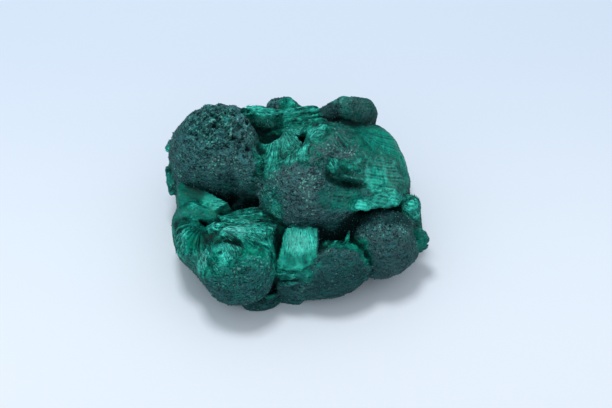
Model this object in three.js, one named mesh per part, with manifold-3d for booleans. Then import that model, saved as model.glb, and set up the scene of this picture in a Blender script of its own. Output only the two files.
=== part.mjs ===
// A hand-size malachite specimen: rounded lobes of radiating fibres, grown together into one solid mass.
// Millimetres, +Z up. The lobes are laid out on the ground plane z = 0, with +X to the right and +Y to the back,
// and the finished mass is then scaled to WIDTH, with its origin in the middle of its footprint.
import * as THREE from "three";
import { mergeVertices } from "three/addons/utils/BufferGeometryUtils.js";
import { ImprovedNoise } from "three/addons/math/ImprovedNoise.js";
import Module from "manifold-3d";

const WIDTH = 65; // the whole mass, left to right
const FACET_EDGE = 2.8; // the triangle edge wanted on every lobe
const LUMP_SIZE = 4.5; // the spacing of the swellings on a lobe
const LUMP_HEIGHT = 0.55; // how far they stand out
const BLOCK_SIDE = 200; // a cutting block, larger than the mass on every side

const MALACHITE = new THREE.MeshStandardMaterial({ color: 0x0f4f45, roughness: 0.6, metalness: 0 });

// Each lobe is an ellipsoid with its centre, its three radii and its turn about X, Y and Z in degrees.
// taper narrows it towards its own +X end, and lumps scales the swellings on it.
const LOBES = {
  leftDome: { at: [-19.3, 12.8, 16.4], radii: [12, 11.8, 12] },
  core: { at: [2, 3, 9], radii: [19, 15, 10] },
  belly: { at: [3.3, -0.6, 16.3], radii: [12.6, 10.6, 12] },
  topMass: { at: [6, 10.5, 16], radii: [12, 10, 10.5] },
  shoulder: { at: [18.5, 12, 16], radii: [7.6, 9.5, 8.5], turn: [0, 0, 20] },
  fan: { at: [-2, 11, 17.5], radii: [8, 8, 6.5] },
  underLip: { at: [19.5, 0, 8], radii: [9, 7, 8] },
  backMass: { at: [0, 14, 10], radii: [24, 12, 10] },
  underDome: { at: [-20, 11.5, 6.3], radii: [7.5, 7.5, 6.9] },
  backLeftDome: { at: [-12.5, 19, 9.5], radii: [8.5, 7.5, 10] },
  backRightDome: { at: [6, 20.8, 9.3], radii: [9, 6.5, 9.8] },
  backBud: { at: [-3.6, 25, 7.6], radii: [4.2, 3.6, 4.4] },
  backCornerDome: { at: [20, 14.6, 8], radii: [7.3, 7.6, 8.7] },
  rightBud: { at: [22.6, 6.6, 5.2], radii: [4.8, 4.6, 4.9] },
  leafRidge: { at: [-13.3, 20, 21.3], radii: [4.4, 3.4, 3.2] },
  crest: { at: [-8, 20.3, 21.3], radii: [5.5, 4, 3.6], turn: [0, 0, 6] },
  darkKnob: { at: [-5.1, 25.2, 20.4], radii: [2.4, 2.4, 2.5] },
  greenKnob: { at: [-2.5, 25.2, 20.4], radii: [2.6, 2.4, 2.5] },
  saddle: { at: [1.5, 19.4, 19.4], radii: [8, 5, 4.5] },
  hornRoot: { at: [7.1, 21.2, 22.2], radii: [2.7, 2.6, 2.6] },
  hornBack: { at: [10.8, 21.8, 23.2], radii: [5, 3, 3.2], turn: [0, -8, 0] },
  hornTip: { at: [15.2, 21, 21.6], radii: [4.4, 4.2, 4.7] },
  cupLower: { at: [-14.2, -15.8, 10.9], radii: [10.4, 10, 11.5] },
  cupLeft: { at: [-21.8, -8, 12], radii: [7.9, 8.5, 10] },
  cupFan: { at: [-9.5, -9.5, 13.6], radii: [6.8, 5.5, 6] },
  flap: { at: [-21.6, -1.4, 15.8], radii: [7.6, 3.6, 3.4], turn: [0, 0, -17], taper: 0.45 },
  leftRim: { at: [-28.8, 8.2, 10.6], radii: [3.8, 4.6, 5.8] },
  blockSkin: { at: [8.2, -16.6, 9], radii: [9.2, 5.6, 7.4], turn: [0, -6, 12] },
  darkLobe: { at: [21.2, -10.5, 9.3], radii: [8.3, 7.7, 9.6] },
  column: { at: [28.4, -0.8, 10.8], radii: [2.2, 3.2, 6], turn: [0, 6, 0] },
  nodule: { at: [30.4, -7, 8.5], radii: [2.6, 3.1, 3.4] },
  shard: { at: [-8.2, -21, 2.8], radii: [4.4, 2.4, 2.6] },
};

// Lobes that broke across: each keeps the side of its planes that their normals point away from.
const BROKEN_LOBES = {
  rightMass: {
    lobe: { at: [10.4, 5, 12.5], radii: [17.2, 19.5, 13.8] },
    breaks: [{ at: [21, -2, 15], normal: [0.1, -0.78, -0.61] }],
  },
  fibrousBlock: {
    lobe: { at: [1.4, -15, 9.4], radii: [7.6, 7.8, 9.8] },
    breaks: [{ at: [0.3, -14.8, 15.9], normal: [-0.13, -0.54, 0.83] }],
  },
};

// Hollows between and in the lobes, as ellipsoids that are taken away.
const HOLLOWS = {
  deepGap: { at: [-11.5, 1.5, 15.5], radii: [4.5, 3.5, 6] },
  domeValley: { at: [-6.3, 14.8, 24], radii: [3.6, 3.8, 4] },
  fold: { at: [10.8, 1, 28], radii: [5.5, 2.2, 3], turn: [0, 0, -12] },
  hornPit: { at: [8.4, 18.6, 23.4], radii: [2, 1.8, 2] },
};

// The worn underside, which the specimen rests on.
const UNDERSIDE = { at: [0, 0, 0], normal: [0, 0, -1] };

const wasm = await Module();
wasm.setup();
const noise = new ImprovedNoise();

// A closed three.js geometry as a manifold-3d solid.
function solidOf(geometry) {
  geometry.deleteAttribute("normal");
  geometry.deleteAttribute("uv");
  const merged = mergeVertices(geometry);
  return new wasm.Manifold(
    new wasm.Mesh({
      numProp: 3,
      vertProperties: merged.attributes.position.array,
      triVerts: new Uint32Array(merged.index.array),
    }),
  );
}

// A manifold-3d solid as a three.js geometry.
function geometryOf(solid) {
  const mesh = solid.getMesh();
  const position = new THREE.BufferAttribute(mesh.vertProperties, mesh.numProp);
  const geometry = new THREE.BufferGeometry().setAttribute("position", position);
  geometry.setIndex(new THREE.BufferAttribute(mesh.triVerts, 1));
  geometry.computeVertexNormals();
  return geometry;
}

// A sphere with triangles of about FACET_EDGE, stretched, tapered, turned and swollen into a lobe.
function makeLobe({ at, radii, turn = [0, 0, 0], taper = 0, lumps = 1 }) {
  const meanRadius = Math.cbrt(radii[0] * radii[1] * radii[2]);
  const detail = Math.max(2, Math.round((1.2 * meanRadius) / FACET_EDGE) - 1);
  const geometry = new THREE.IcosahedronGeometry(1, detail);
  const points = geometry.attributes.position;
  const turned = new THREE.Euler(...turn.map(THREE.MathUtils.degToRad));
  const centre = new THREE.Vector3(...at);
  const height = Math.min(LUMP_HEIGHT, meanRadius / 8) * lumps;
  for (let i = 0; i < points.count; i++) {
    const direction = new THREE.Vector3().fromBufferAttribute(points, i);
    const width = 1 - taper * direction.x;
    const point = direction.clone().multiply(new THREE.Vector3(radii[0], radii[1] * width, radii[2] * width));
    point.applyEuler(turned).add(centre);
    const swelling = noise.noise(point.x / LUMP_SIZE, point.y / LUMP_SIZE, point.z / LUMP_SIZE);
    point.addScaledVector(direction.applyEuler(turned), height * swelling);
    points.setXYZ(i, point.x, point.y, point.z);
  }
  return solidOf(geometry);
}

// The half of space in front of a plane, as a block that is large enough to cut with.
function halfSpace({ at, normal }) {
  const out = new THREE.Vector3(...normal).normalize();
  const block = new THREE.BoxGeometry(BLOCK_SIDE, BLOCK_SIDE, BLOCK_SIDE);
  block.translate(0, 0, BLOCK_SIDE / 2);
  block.applyQuaternion(new THREE.Quaternion().setFromUnitVectors(new THREE.Vector3(0, 0, 1), out));
  block.translate(...at);
  return solidOf(block);
}

function makeMass() {
  const whole = Object.values(LOBES).map(makeLobe);
  const broken = Object.values(BROKEN_LOBES).map(({ lobe, breaks }) =>
    breaks.reduce((kept, plane) => kept.subtract(halfSpace(plane)), makeLobe(lobe)),
  );
  const hollows = Object.values(HOLLOWS).map(makeLobe);
  const joined = [...whole, ...broken].reduce((mass, piece) => mass.add(piece));
  const hollowed = hollows.reduce((mass, hollow) => mass.subtract(hollow), joined);
  return hollowed.subtract(halfSpace(UNDERSIDE));
}

// Scales the mass to WIDTH and moves the middle of its footprint to the origin.
function settle(geometry) {
  geometry.computeBoundingBox();
  const box = geometry.boundingBox;
  const middle = box.getCenter(new THREE.Vector3());
  const scale = WIDTH / (box.max.x - box.min.x);
  geometry.translate(-middle.x, -middle.y, -box.min.z);
  return geometry.scale(scale, scale, scale);
}

const specimen = new THREE.Mesh(settle(geometryOf(makeMass())), MALACHITE);
specimen.name = "malachite_mass";

const root = new THREE.Group();
root.add(specimen);
export default root;
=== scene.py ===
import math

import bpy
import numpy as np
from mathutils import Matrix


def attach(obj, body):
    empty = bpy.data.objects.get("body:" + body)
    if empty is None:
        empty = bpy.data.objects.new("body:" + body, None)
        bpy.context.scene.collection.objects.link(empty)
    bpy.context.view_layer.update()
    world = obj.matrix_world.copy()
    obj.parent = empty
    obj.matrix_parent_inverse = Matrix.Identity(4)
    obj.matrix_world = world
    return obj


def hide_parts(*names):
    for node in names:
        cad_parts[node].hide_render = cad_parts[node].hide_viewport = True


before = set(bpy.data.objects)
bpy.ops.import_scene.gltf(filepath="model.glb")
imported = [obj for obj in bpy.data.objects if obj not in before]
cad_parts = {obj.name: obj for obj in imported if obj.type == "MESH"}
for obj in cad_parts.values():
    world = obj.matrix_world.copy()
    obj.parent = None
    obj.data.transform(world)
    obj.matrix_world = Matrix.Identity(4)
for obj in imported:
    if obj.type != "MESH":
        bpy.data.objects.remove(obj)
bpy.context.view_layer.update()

# A hand-size malachite specimen, carved as one solid and given a finish of silky fibres and dark crust.
# The stone is laid out in millimetres on a table top: +X to the right, +Y to the back, +Z up.
# Its layout is the one of the solid lobes, which is then moved to the middle of the footprint.

import openvdb
from mathutils import Vector

MM = 0.001

# Where the layout's own millimetres go in the finished frame.
LAYOUT_MIDDLE = np.array([0.255, 1.535, 0.0])
LAYOUT_SCALE = 0.9913

CELL = 0.30
MOST_TRIANGLES = 196000
CARVE_LOW = (-35.0, -28.5, -1.1)
CARVE_HIGH = (35.5, 31.5, 31.0)
FAR = 4.0


# ---- noise

def lumps(points, size, seed):
    """Smooth noise between about -1 and 1 at each point. size is the width of one lump in millimetres."""
    rng = np.random.default_rng(seed)
    slopes = rng.normal(size=(256, 3)).astype(np.float32)
    slopes /= np.linalg.norm(slopes, axis=1, keepdims=True)
    place = points / np.float32(size) + np.float32(seed * 7.31 % 19.0)
    cell = np.floor(place).astype(np.int32)
    inside = (place - cell).astype(np.float32)
    ease = inside * inside * inside * (inside * (inside * 6 - 15) + 10)
    total = np.zeros(points.shape[:-1], np.float32)
    for corner in np.ndindex(2, 2, 2):
        key = np.zeros(total.shape, np.uint32)
        weight = np.ones(total.shape, np.float32)
        slope_axes = []
        for axis, prime in enumerate((73856093, 19349663, 83492791)):
            key ^= (cell[..., axis] + corner[axis]).astype(np.uint32) * np.uint32(prime)
            weight *= ease[..., axis] if corner[axis] else 1 - ease[..., axis]
            slope_axes.append(inside[..., axis] - corner[axis])
        key = (key ^ (key >> np.uint32(13))) * np.uint32(1540483477)
        pick = ((key ^ (key >> np.uint32(15))) & np.uint32(255)).astype(np.int64)
        total += weight * sum(slopes[pick, axis] * slope_axes[axis] for axis in range(3))
    return total * 1.6


def step(low, high, value):
    """0 below low, 1 above high, and a smooth rise between them."""
    t = np.clip((value - low) / (high - low), 0, 1)
    return t * t * (3 - 2 * t)


def unit(vectors):
    return vectors / np.maximum(np.linalg.norm(vectors, axis=-1, keepdims=True), 1e-9)


# ---- shapes to carve with

def turned(degrees):
    """A rotation about X, then Y, then Z."""
    a, b, c = (math.radians(d) for d in degrees)
    about_x = np.array([[1, 0, 0], [0, math.cos(a), -math.sin(a)], [0, math.sin(a), math.cos(a)]])
    about_y = np.array([[math.cos(b), 0, math.sin(b)], [0, 1, 0], [-math.sin(b), 0, math.cos(b)]])
    about_z = np.array([[math.cos(c), -math.sin(c), 0], [math.sin(c), math.cos(c), 0], [0, 0, 1]])
    return about_x @ about_y @ about_z


class Shape:
    """A closed form: its box, and its distance at each point, negative inside."""

    def __init__(self, low, high, distance):
        self.low, self.high, self.distance = np.array(low, float), np.array(high, float), distance

    def broken(self, at, normal, rough=0.25, seed=3):
        """The same form with the side that normal points to broken off along a slightly uneven plane."""
        normal = unit(np.array(normal, float))

        def distance(p):
            plane = (p - np.array(at)) @ normal + rough * lumps(p, 2.2, seed)
            return np.maximum(self.distance(p), plane)
        return Shape(self.low, self.high, distance)

    def chipped(self, faces, rough=0.15, seed=5):
        """The same form broken off along several planes, each given as a point on it and its normal."""
        form = self
        for number, (at, normal) in enumerate(faces):
            form = form.broken(at, normal, rough, seed + number)
        return form


def ball(at, radii, turn=(0, 0, 0)):
    at, radii, frame_of = np.array(at, float), np.array(radii, float), turned(turn)
    reach = np.sqrt(((frame_of * radii) ** 2).sum(1))

    def distance(p):
        local = (p - at) @ frame_of
        near = np.linalg.norm(local / radii, axis=-1)
        steep = np.maximum(np.linalg.norm(local / radii ** 2, axis=-1), 1e-6)
        return near * (near - 1) / steep
    return Shape(at - reach, at + reach, distance)


def rod(points, widths):
    """A round bar through the points, with its half width given at each of them."""
    points = [np.array(p, float) for p in points]
    low = np.min([p - w for p, w in zip(points, widths)], axis=0)
    high = np.max([p + w for p, w in zip(points, widths)], axis=0)

    def distance(p):
        best = None
        for start, end, w0, w1 in zip(points, points[1:], widths, widths[1:]):
            run = end - start
            t = np.clip(((p - start) @ run) / (run @ run), 0, 1)
            d = np.linalg.norm(p - (start + t[..., None] * run), axis=-1) - (w0 + (w1 - w0) * t)
            best = d if best is None else np.minimum(best, d)
        return best
    return Shape(low, high, distance)


def blade(base, tip, wide, thick, face, point=0.8, corner=3.0):
    """A flat splinter from its base to its pointed tip. face is the way its flat side looks."""
    base, tip = np.array(base, float), np.array(tip, float)
    length = np.linalg.norm(tip - base)
    along = (tip - base) / length
    across = unit(np.cross(np.array(face, float), along))
    up = np.cross(along, across)
    spread = np.abs(across) * wide + np.abs(up) * thick + 0.3

    def distance(p):
        t = ((p - base) @ along) / length
        keep = np.clip(1 - t, 0.02, 1.2)
        half_wide = wide * keep ** point
        half_thick = thick * keep ** (point * 0.6)
        u = np.abs((p - base) @ across) / half_wide
        v = np.abs((p - base) @ up) / half_thick
        side = ((u ** corner + v ** corner) ** (1 / corner) - 1) * np.minimum(half_wide, half_thick)
        return np.maximum(side, np.maximum(-t, t - 1) * length)
    return Shape(np.minimum(base, tip) - spread, np.maximum(base, tip) + spread, distance)


# ---- the block of clay

class Clay:
    """The distance to the stone's surface in a box of small cells, negative inside the stone."""

    def __init__(self):
        self.low = np.array(CARVE_LOW)
        counts = np.ceil((np.array(CARVE_HIGH) - self.low) / CELL).astype(int) + 1
        axes = [self.low[i] + CELL * np.arange(counts[i]) for i in range(3)]
        self.places = np.stack(np.meshgrid(*axes, indexing="ij"), -1).astype(np.float32)
        sway = np.stack([lumps(self.places, 9.0, seed) for seed in (11, 12, 13)], -1)
        self.places_bent = self.places + np.float32(0.55) * sway
        self.depth = np.full(tuple(counts), FAR, np.float32)

    def cells(self, shape, margin):
        start = np.floor((shape.low - margin - self.low) / CELL).astype(int)
        stop = np.ceil((shape.high + margin - self.low) / CELL).astype(int) + 1
        start, stop = np.maximum(start, 0), np.minimum(stop, self.depth.shape)
        return tuple(slice(a, b) for a, b in zip(start, stop))

    def blend(self, shape, soft, cut):
        where = self.cells(shape, FAR)
        old = self.depth[where]
        new = shape.distance(self.places_bent[where]).astype(np.float32)
        if cut:
            old, new = -old, new
        mix = np.clip(0.5 + 0.5 * (old - new) / soft, 0, 1)
        low = old + (new - old) * mix - soft * mix * (1 - mix)
        self.depth[where] = -low if cut else low

    def add(self, shape, soft=0.8):
        self.blend(shape, soft, False)

    def cut(self, shape, soft=0.6):
        self.blend(shape, soft, True)

    def roughen(self, size, height, seed):
        near = np.abs(self.depth) < 2.5
        self.depth[near] += np.float32(height) * lumps(self.places[near], size, seed)

    def hollowness(self, points, reach):
        """How far the skin at each point lies below its surroundings, from -1 on a ridge to 1 in a groove."""
        around = np.clip(self.depth, -reach, reach)
        half = max(1, round(reach / CELL))
        for axis in (0, 1, 2, 0, 1, 2):
            padding = [(0, 0)] * 3
            padding[axis] = (half + 1, half)
            total = np.cumsum(np.pad(around, padding, "edge"), axis=axis, dtype=np.float32)
            size = around.shape[axis]
            high = np.take(total, np.arange(2 * half + 1, 2 * half + 1 + size), axis=axis)
            around = (high - np.take(total, np.arange(size), axis=axis)) / (2 * half + 1)
        cell = np.clip(np.rint((points - self.low) / CELL).astype(int), 0, np.array(around.shape) - 1)
        return np.clip(-around[tuple(cell.T)] / (0.25 * reach), -1, 1)

    def surface(self):
        """The stone's skin as corner points in millimetres and four-sided faces."""
        grid = openvdb.FloatGrid(FAR)
        grid.copyFromArray(np.clip(self.depth, -FAR, FAR), tolerance=0.0)
        points, quads = grid.convertToQuads(0.0)
        return points * CELL + self.low, quads[:, ::-1]


# ---- the lobes

# What a finish is made of: crust is dark drusy skin, silk is bright freshly broken fibre, its palest streaks
# painted sheen, band is fine growth bands, grey is a grey tint, partly the crust's own and partly painted
# sheen, the finish after grey darkens the stone, mostly painted shade in recesses, under overhangs and on
# lower sides and partly darker green stone, and rust is iron stain. speck is how many bright crystals sparkle
# on the crust as painted glints, and below 0 it makes quiet skin, with less relief and less contrast.
FINISHES = ("crust", "silk", "band", "grey", "deep", "rust", "speck")

# Each lobe: middle, half sizes, how softly it joins what is already there, and finish.
LOBES = {
    "left_dome": ((-19.3, 12.8, 16.4), (12, 11.8, 12), 0.8, dict(crust=1, grey=0.35, speck=0.25)),
    "core": ((2, 3, 9), (19, 15, 10), 0.8, dict(crust=0.8, deep=0.5)),
    "top_mass": ((6, 10.5, 16), (12, 10, 10.5), 2, dict(crust=0.45, grey=0.3)),
    "belly": ((3.3, -0.6, 16.3), (12.6, 10.6, 12), 3, dict(crust=0.85, grey=0.75, speck=0.25)),
    "belly_side": ((-6, 3, 13), (6, 6.5, 8.5), 2, dict(crust=0.5, deep=0.3)),
    "shoulder": ((17.7, 12, 15.6), (7.3, 9.3, 8.5), 2.5, dict(crust=0.15, silk=0.1)),
    "fan": ((-2, 11, 17.5), (8, 8, 6.5), 2, dict(crust=0.15, silk=0.3)),
    # painted shade under the lip
    "under_lip": ((19.5, 0, 8), (9, 7, 8), 1, dict(crust=0.9, deep=1)),
    "back_mass": ((0, 14, 10), (24, 12, 10), 1, dict(crust=0.6)),
    "under_dome": ((-20, 11.5, 6.3), (7.5, 7.5, 6.9), 1.5, dict(crust=0.8, deep=0.4)),
    "back_left_dome": ((-12.5, 19, 9.5), (8.5, 7.5, 10), 0.6, dict(crust=0.9, grey=0.3)),
    "back_right_dome": ((6, 20.8, 9.3), (9, 6.5, 9.8), 0.6, dict(crust=0.6, grey=0.2)),
    "back_bud": ((-3.6, 25, 7.6), (4.2, 3.6, 4.4), 0.5, dict(crust=0.2, silk=0.3)),
    "back_corner_dome": ((20, 14.6, 8), (7.3, 7.6, 8.7), 0.7, dict(crust=0.9, grey=0.4)),
    "right_bud": ((22.6, 6.6, 5.2), (4.8, 4.6, 4.9), 0.5, dict(crust=0.2, silk=0.2)),
    "cup_lower": ((-14.2, -15.6, 10.9), (10.3, 10, 10.6), 0.7, dict(crust=0.6, speck=0.4)),
    "cup_left": ((-23.2, -4.6, 9.6), (6.9, 7.4, 8), 2, dict(crust=0.4, silk=0.2)),
    "cup_wall": ((-24.2, -11, 9.2), (5.3, 6.6, 8.2), 1.6, dict(crust=0.25, silk=0.25)),
    "cup_side": ((-19.6, -12.4, 7.2), (6.4, 6.8, 7.2), 2.5, dict(crust=0.7, grey=0.1)),
    "cup_fan": ((-10, -10, 12.6), (7.2, 6, 5), 2, dict(crust=0.1, silk=0.4)),
    # the dark lobe: its own dark skin, darkened further by painted shade, most at its back under the lip
    "dark_lobe": ((20.9, -10.2, 9.3), (8.1, 7.3, 8.8), 0.4, dict(crust=1, grey=0.7, deep=0.35, speck=-0.6)),
    "dark_lobe_back": ((19.4, -7.6, 10.4), (7, 6, 8.2), 2.5, dict(crust=1, grey=0.6, deep=0.6, speck=-0.5)),
}
LOBE_TURNS = {"shoulder": (0, 0, 20)}

# The directions in which the two flat broken faces look.
FLAP_TOP = (-0.12, -0.16, 1)
BLOCK_TOP = (-0.04, -0.50, 0.86)


def lobe(name):
    return ball(*LOBES[name][:2], LOBE_TURNS.get(name, (0, 0, 0)))


def rough_out(clay):
    for name in LOBES:
        clay.add(lobe(name), LOBES[name][2])


def dress_dome(clay):
    """The spongy crown of the large round lobe, its lower bulge, and the little nubs along its outer edge."""
    for at, radii in (((-16.5, 18.3, 23.6), (4, 3.4, 3.2)), ((-20.5, 17, 24.6), (3.2, 3, 2.6)),
                      ((-13.5, 15, 24.5), (2.6, 2.6, 2.2)), ((-11.4, 5.8, 17.2), (6.2, 5.6, 7.2))):
        clay.add(ball(at, radii), 1.6)
    for at, size in (((-21.2, 19.6, 25.2), 1.5), ((-18.4, 20.8, 24.4), 1.6), ((-23.8, 18.6, 24), 1.3),
                     ((-27.6, 15.6, 22.4), 1.2), ((-25.8, 13.4, 25.2), 1.2)):
        clay.add(ball(at, size), 0.9)
    for at, radii in (((-19.4, 12.6, 28.4), (1.5, 1, 1.7)), ((-22, 11.2, 27.8), (0.8, 0.5, 1.1))):
        clay.cut(ball(at, radii), 0.5)
    rng = np.random.default_rng(17)
    for _ in range(70):
        x, y = rng.uniform(-25, -11.5), rng.uniform(7.5, 19.5)
        z = 16.4 + 12 * math.sqrt(max(0.05, 1 - ((x + 19.3) / 12) ** 2 - ((y - 12.8) / 11.8) ** 2))
        size = rng.uniform(0.35, 0.85)
        clay.cut(ball((x, y, z), (size, size * rng.uniform(0.5, 1), 1.1), (0, 0, rng.uniform(-60, 60))), 0.35)
    clay.add(rod([(-30.2, 14.4, 16.6), (-31.4, 14.2, 17.2), (-31, 15.4, 18.4)], [1.2, 0.9, 0.5]), 0.2)
    clay.add(rod([(-29.4, 10.6, 15.4), (-30.6, 10.2, 15.6), (-30.2, 11.4, 17)], [1.2, 0.9, 0.4]), 0.2)


def left_rim(clay):
    """The thin plate standing at the far left, and the flat pointed flap over the crater."""
    clay.add(ball((-28.6, 9, 11.6), (2.8, 3.8, 4.4)), 0.6)
    clay.add(blade((-29, 6.8, 9.6), (-31.2, 10.6, 15), 1.4, 2.2, (1, 0.2, 0), 0.35), 0.6)
    clay.add(ball((-28.6, 8.4, 14.6), (1.6, 1.3, 1.4)), 0.4)
    flap = ball((-23.4, -0.8, 11.6), (10.4, 7.4, 9.6), (0, 0, -17))
    clay.add(flap.chipped((((-22.6, -2, 16.9), FLAP_TOP), ((-22, -4.6, 15.6), (-0.16, -0.92, 0.36)),
                           ((-17.6, -3.5, 16.4), (0.42, -0.86, 0.25)),
                           ((-19.6, -0.5, 16.8), (0.53, 0.85, 0.1)),
                           ((-28.4, 0, 14), (-1, -0.1, 0.1))), 0.06, 61), 0.15)


def back_edge(clay):
    """The leaf and the bright crest on the back edge, the two knobs, the saddle and the horn."""
    clay.add(rod([(-16.5, 18, 20.5), (-13.3, 19.6, 21.6), (-9.5, 20.8, 21.3)], [2.6, 2.8, 2.6]), 1)
    clay.add(rod([(-15.4, 17.6, 24.6), (-12.8, 19.8, 25.2), (-10, 19.9, 24.7)], [0.4, 0.5, 0.4]), 0.3)
    clay.add(rod([(-15.4, 17.6, 24.6), (-12.6, 17.7, 24.8), (-10, 19.5, 24.5)], [0.4, 0.5, 0.4]), 0.3)
    clay.cut(rod([(-15.6, 16.4, 25.4), (-12.4, 16.4, 24.6), (-9.6, 17.8, 24)], [0.3, 0.45, 0.35]), 0.3)
    clay.add(ball((-8, 20.4, 20.3), (5.5, 3.4, 3.4), (0, 0, 6)), 0.8)
    clay.add(blade((-12, 20.6, 23), (-2.6, 20.4, 24.2), 1.9, 0.9, (0, -0.5, 1), 0.7), 0.25)
    clay.cut(rod([(-8.8, 17.8, 24.2), (-5.6, 18.6, 23.8)], [0.5, 0.6]), 0.4)
    clay.cut(rod([(-5.4, 19, 24.2), (-5.6, 16.6, 22.6)], [0.45, 0.6]), 0.25)
    clay.add(ball((-5.1, 25.2, 20.2), (2.5, 2.3, 2.5)), 0.4)
    clay.add(rod([(-3, 25.2, 20.6), (-0.2, 23.6, 20)], [2.3, 1.9]), 0.4)
    clay.add(ball((1.5, 19.4, 19.4), (8, 5, 4.5)), 1.5)
    for start, end in (((-2.5, 21.4, 23.4), (4.6, 22.2, 23.4)), ((-3, 19.6, 23.6), (5.4, 21, 23.9)),
                       ((-1.5, 18, 23.8), (6.2, 19.2, 24.3)), ((0.5, 16.6, 24.2), (6.8, 17.2, 24.6))):
        clay.add(rod([start, end], [0.35, 0.55]), 0.5)
    clay.add(rod([(6.2, 20.6, 21), (7.4, 21.2, 22.4), (11.4, 22, 23.2), (15.6, 21, 22)],
                 [2.3, 2.2, 3, 4.1]), 0.8)
    clay.add(ball((7.6, 20.2, 22.6), (2.2, 2, 2.2)), 0.3)
    clay.cut(rod([(9.6, 22.4, 26), (10, 19.6, 25.4), (10.6, 17.8, 23.6)], [0.6, 0.8, 0.8]), 0.3)
    clay.cut(rod([(6.6, 17.4, 25.2), (10.5, 17, 24.6)], [0.4, 0.5]), 0.3)
    clay.cut(rod([(10.5, 17, 24.6), (14, 16.4, 24.8), (18.5, 16.4, 23.6)], [0.5, 0.7, 0.5]), 0.6)


def valley(clay):
    """The sheet of pale fibres beside the dome, with a round dish and a three-cornered hole at its top."""
    clay.add(ball((-2.6, 9.6, 17.4), (6.6, 8.6, 7.3), (0, 0, 8)), 1.2)
    clay.add(ball((-4.4, 4.2, 17.6), (5.4, 6, 6.4)), 2.5)
    clay.cut(ball((-6.4, 14, 24.6), (3.2, 2.9, 4.5), (0, 0, -10)), 0.35)
    clay.cut(ball((-9.2, 16.4, 24.4), (2.6, 1.7, 4), (0, 0, -20)), 0.8)
    clay.cut(rod([(-3.4, 17.6, 24.8), (-5.6, 16.6, 24)], [0.5, 0.7]), 0.4)
    hole = ball((1.2, 10.9, 26.2), (3.4, 3.4, 4.4))
    clay.cut(hole.chipped((((1.1, 12.2, 25), (0.05, 1, 0)), ((0.3, 10.8, 25), (-0.84, -0.55, 0)),
                           ((2.1, 10.6, 25), (0.96, -0.29, 0))), 0.05, 75), 0.15)
    clay.cut(rod([(1.5, 9.6, 25.4), (1, 7.8, 25.2), (0, 6.4, 25)], [0.35, 0.3, 0.2]), 0.3)


def top_folds(clay):
    """The leaf-shaped patch, the soft ridges below it, and the drooping fold with its dark groove."""
    clay.cut(ball((5.2, 10.7, 27), (3.7, 2.1, 1.7), (10, 10, 34)), 0.15)
    clay.add(ball((5, 11, 25), (3.1, 1.45, 1.6), (10, 10, 34)), 0.12)
    clay.cut(rod([(2.8, 9.6, 27), (5.2, 11.2, 26.9), (7.6, 12.8, 26.4)], [0.12, 0.16, 0.12]), 0.1)
    clay.add(rod([(2.6, 8, 25.4), (1.8, 5, 25.9), (1.2, 0.6, 26.7)], [0.7, 0.9, 0.6]), 0.8)
    clay.add(rod([(5, 7, 25.7), (4.4, 4.6, 26.3), (4, 0.8, 27)], [0.5, 0.8, 0.6]), 0.8)
    clay.cut(rod([(3.7, 7.6, 27.6), (3.1, 4.4, 28), (2.8, 0.6, 28.5)], [0.5, 0.6, 0.4]), 0.6)
    clay.add(rod([(7.6, 9.4, 25.5), (9.8, 7.4, 25.2), (14.5, 5.8, 24.7)], [0.7, 1.1, 0.8]), 1)
    clay.add(rod([(6, 6.4, 25.6), (8.6, 4.6, 25.9), (13.5, 3.6, 25.3)], [0.7, 1, 0.8]), 1)
    clay.add(rod([(5.6, 3.4, 26.6), (8.6, 1.6, 27), (12.4, 1, 26.2), (16, 1.4, 25)],
                 [0.8, 1.3, 1.2, 0.7]), 0.9)
    clay.cut(rod([(5, 1.6, 29.2), (6.6, -0.8, 28.9), (9, -3.2, 27.8), (12.4, -4.2, 26.2), (16.6, -3, 24.6)],
                 [0.8, 1.5, 2.1, 2, 1.2]), 0.6)
    clay.add(rod([(8.6, -1, 26.9), (11.4, -2.4, 26.2), (14.8, -2.2, 25.2)], [0.5, 0.8, 0.5]), 0.4)
    clay.cut(rod([(8.2, -0.2, 28.5), (11, -1, 27.7), (14.4, -0.8, 26.6)], [0.4, 0.7, 0.4]), 0.4)
    clay.add(blade((10.4, -2, 27.4), (7, 4, 27.6), 0.7, 0.5, (0, 0, 1), 0.6, 2), 0.2)
    clay.add(rod([(16, 12.5, 20.6), (17.2, 7, 20.4), (17.4, 2, 19.4), (17.2, -2, 17.4)],
                 [3, 3.6, 3.6, 2.6]), 2)


def right_flank(clay):
    """The broken shell on the right, with its wavy lip hanging over a dark recess."""
    shell = ball((10.4, 5, 12.5), (17.2, 19.5, 13.8)).broken((21, -2, 15), (0.1, -0.78, -0.61), 0.5, 5)
    clay.add(shell, 1.2)
    clay.add(ball((20.4, -5.4, 10), (8, 5.6, 7.4)), 2)
    clay.cut(ball((20.5, -3.6, 16.4), (6.8, 2, 1.6), (0, 0, 8)), 0.6)


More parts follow.
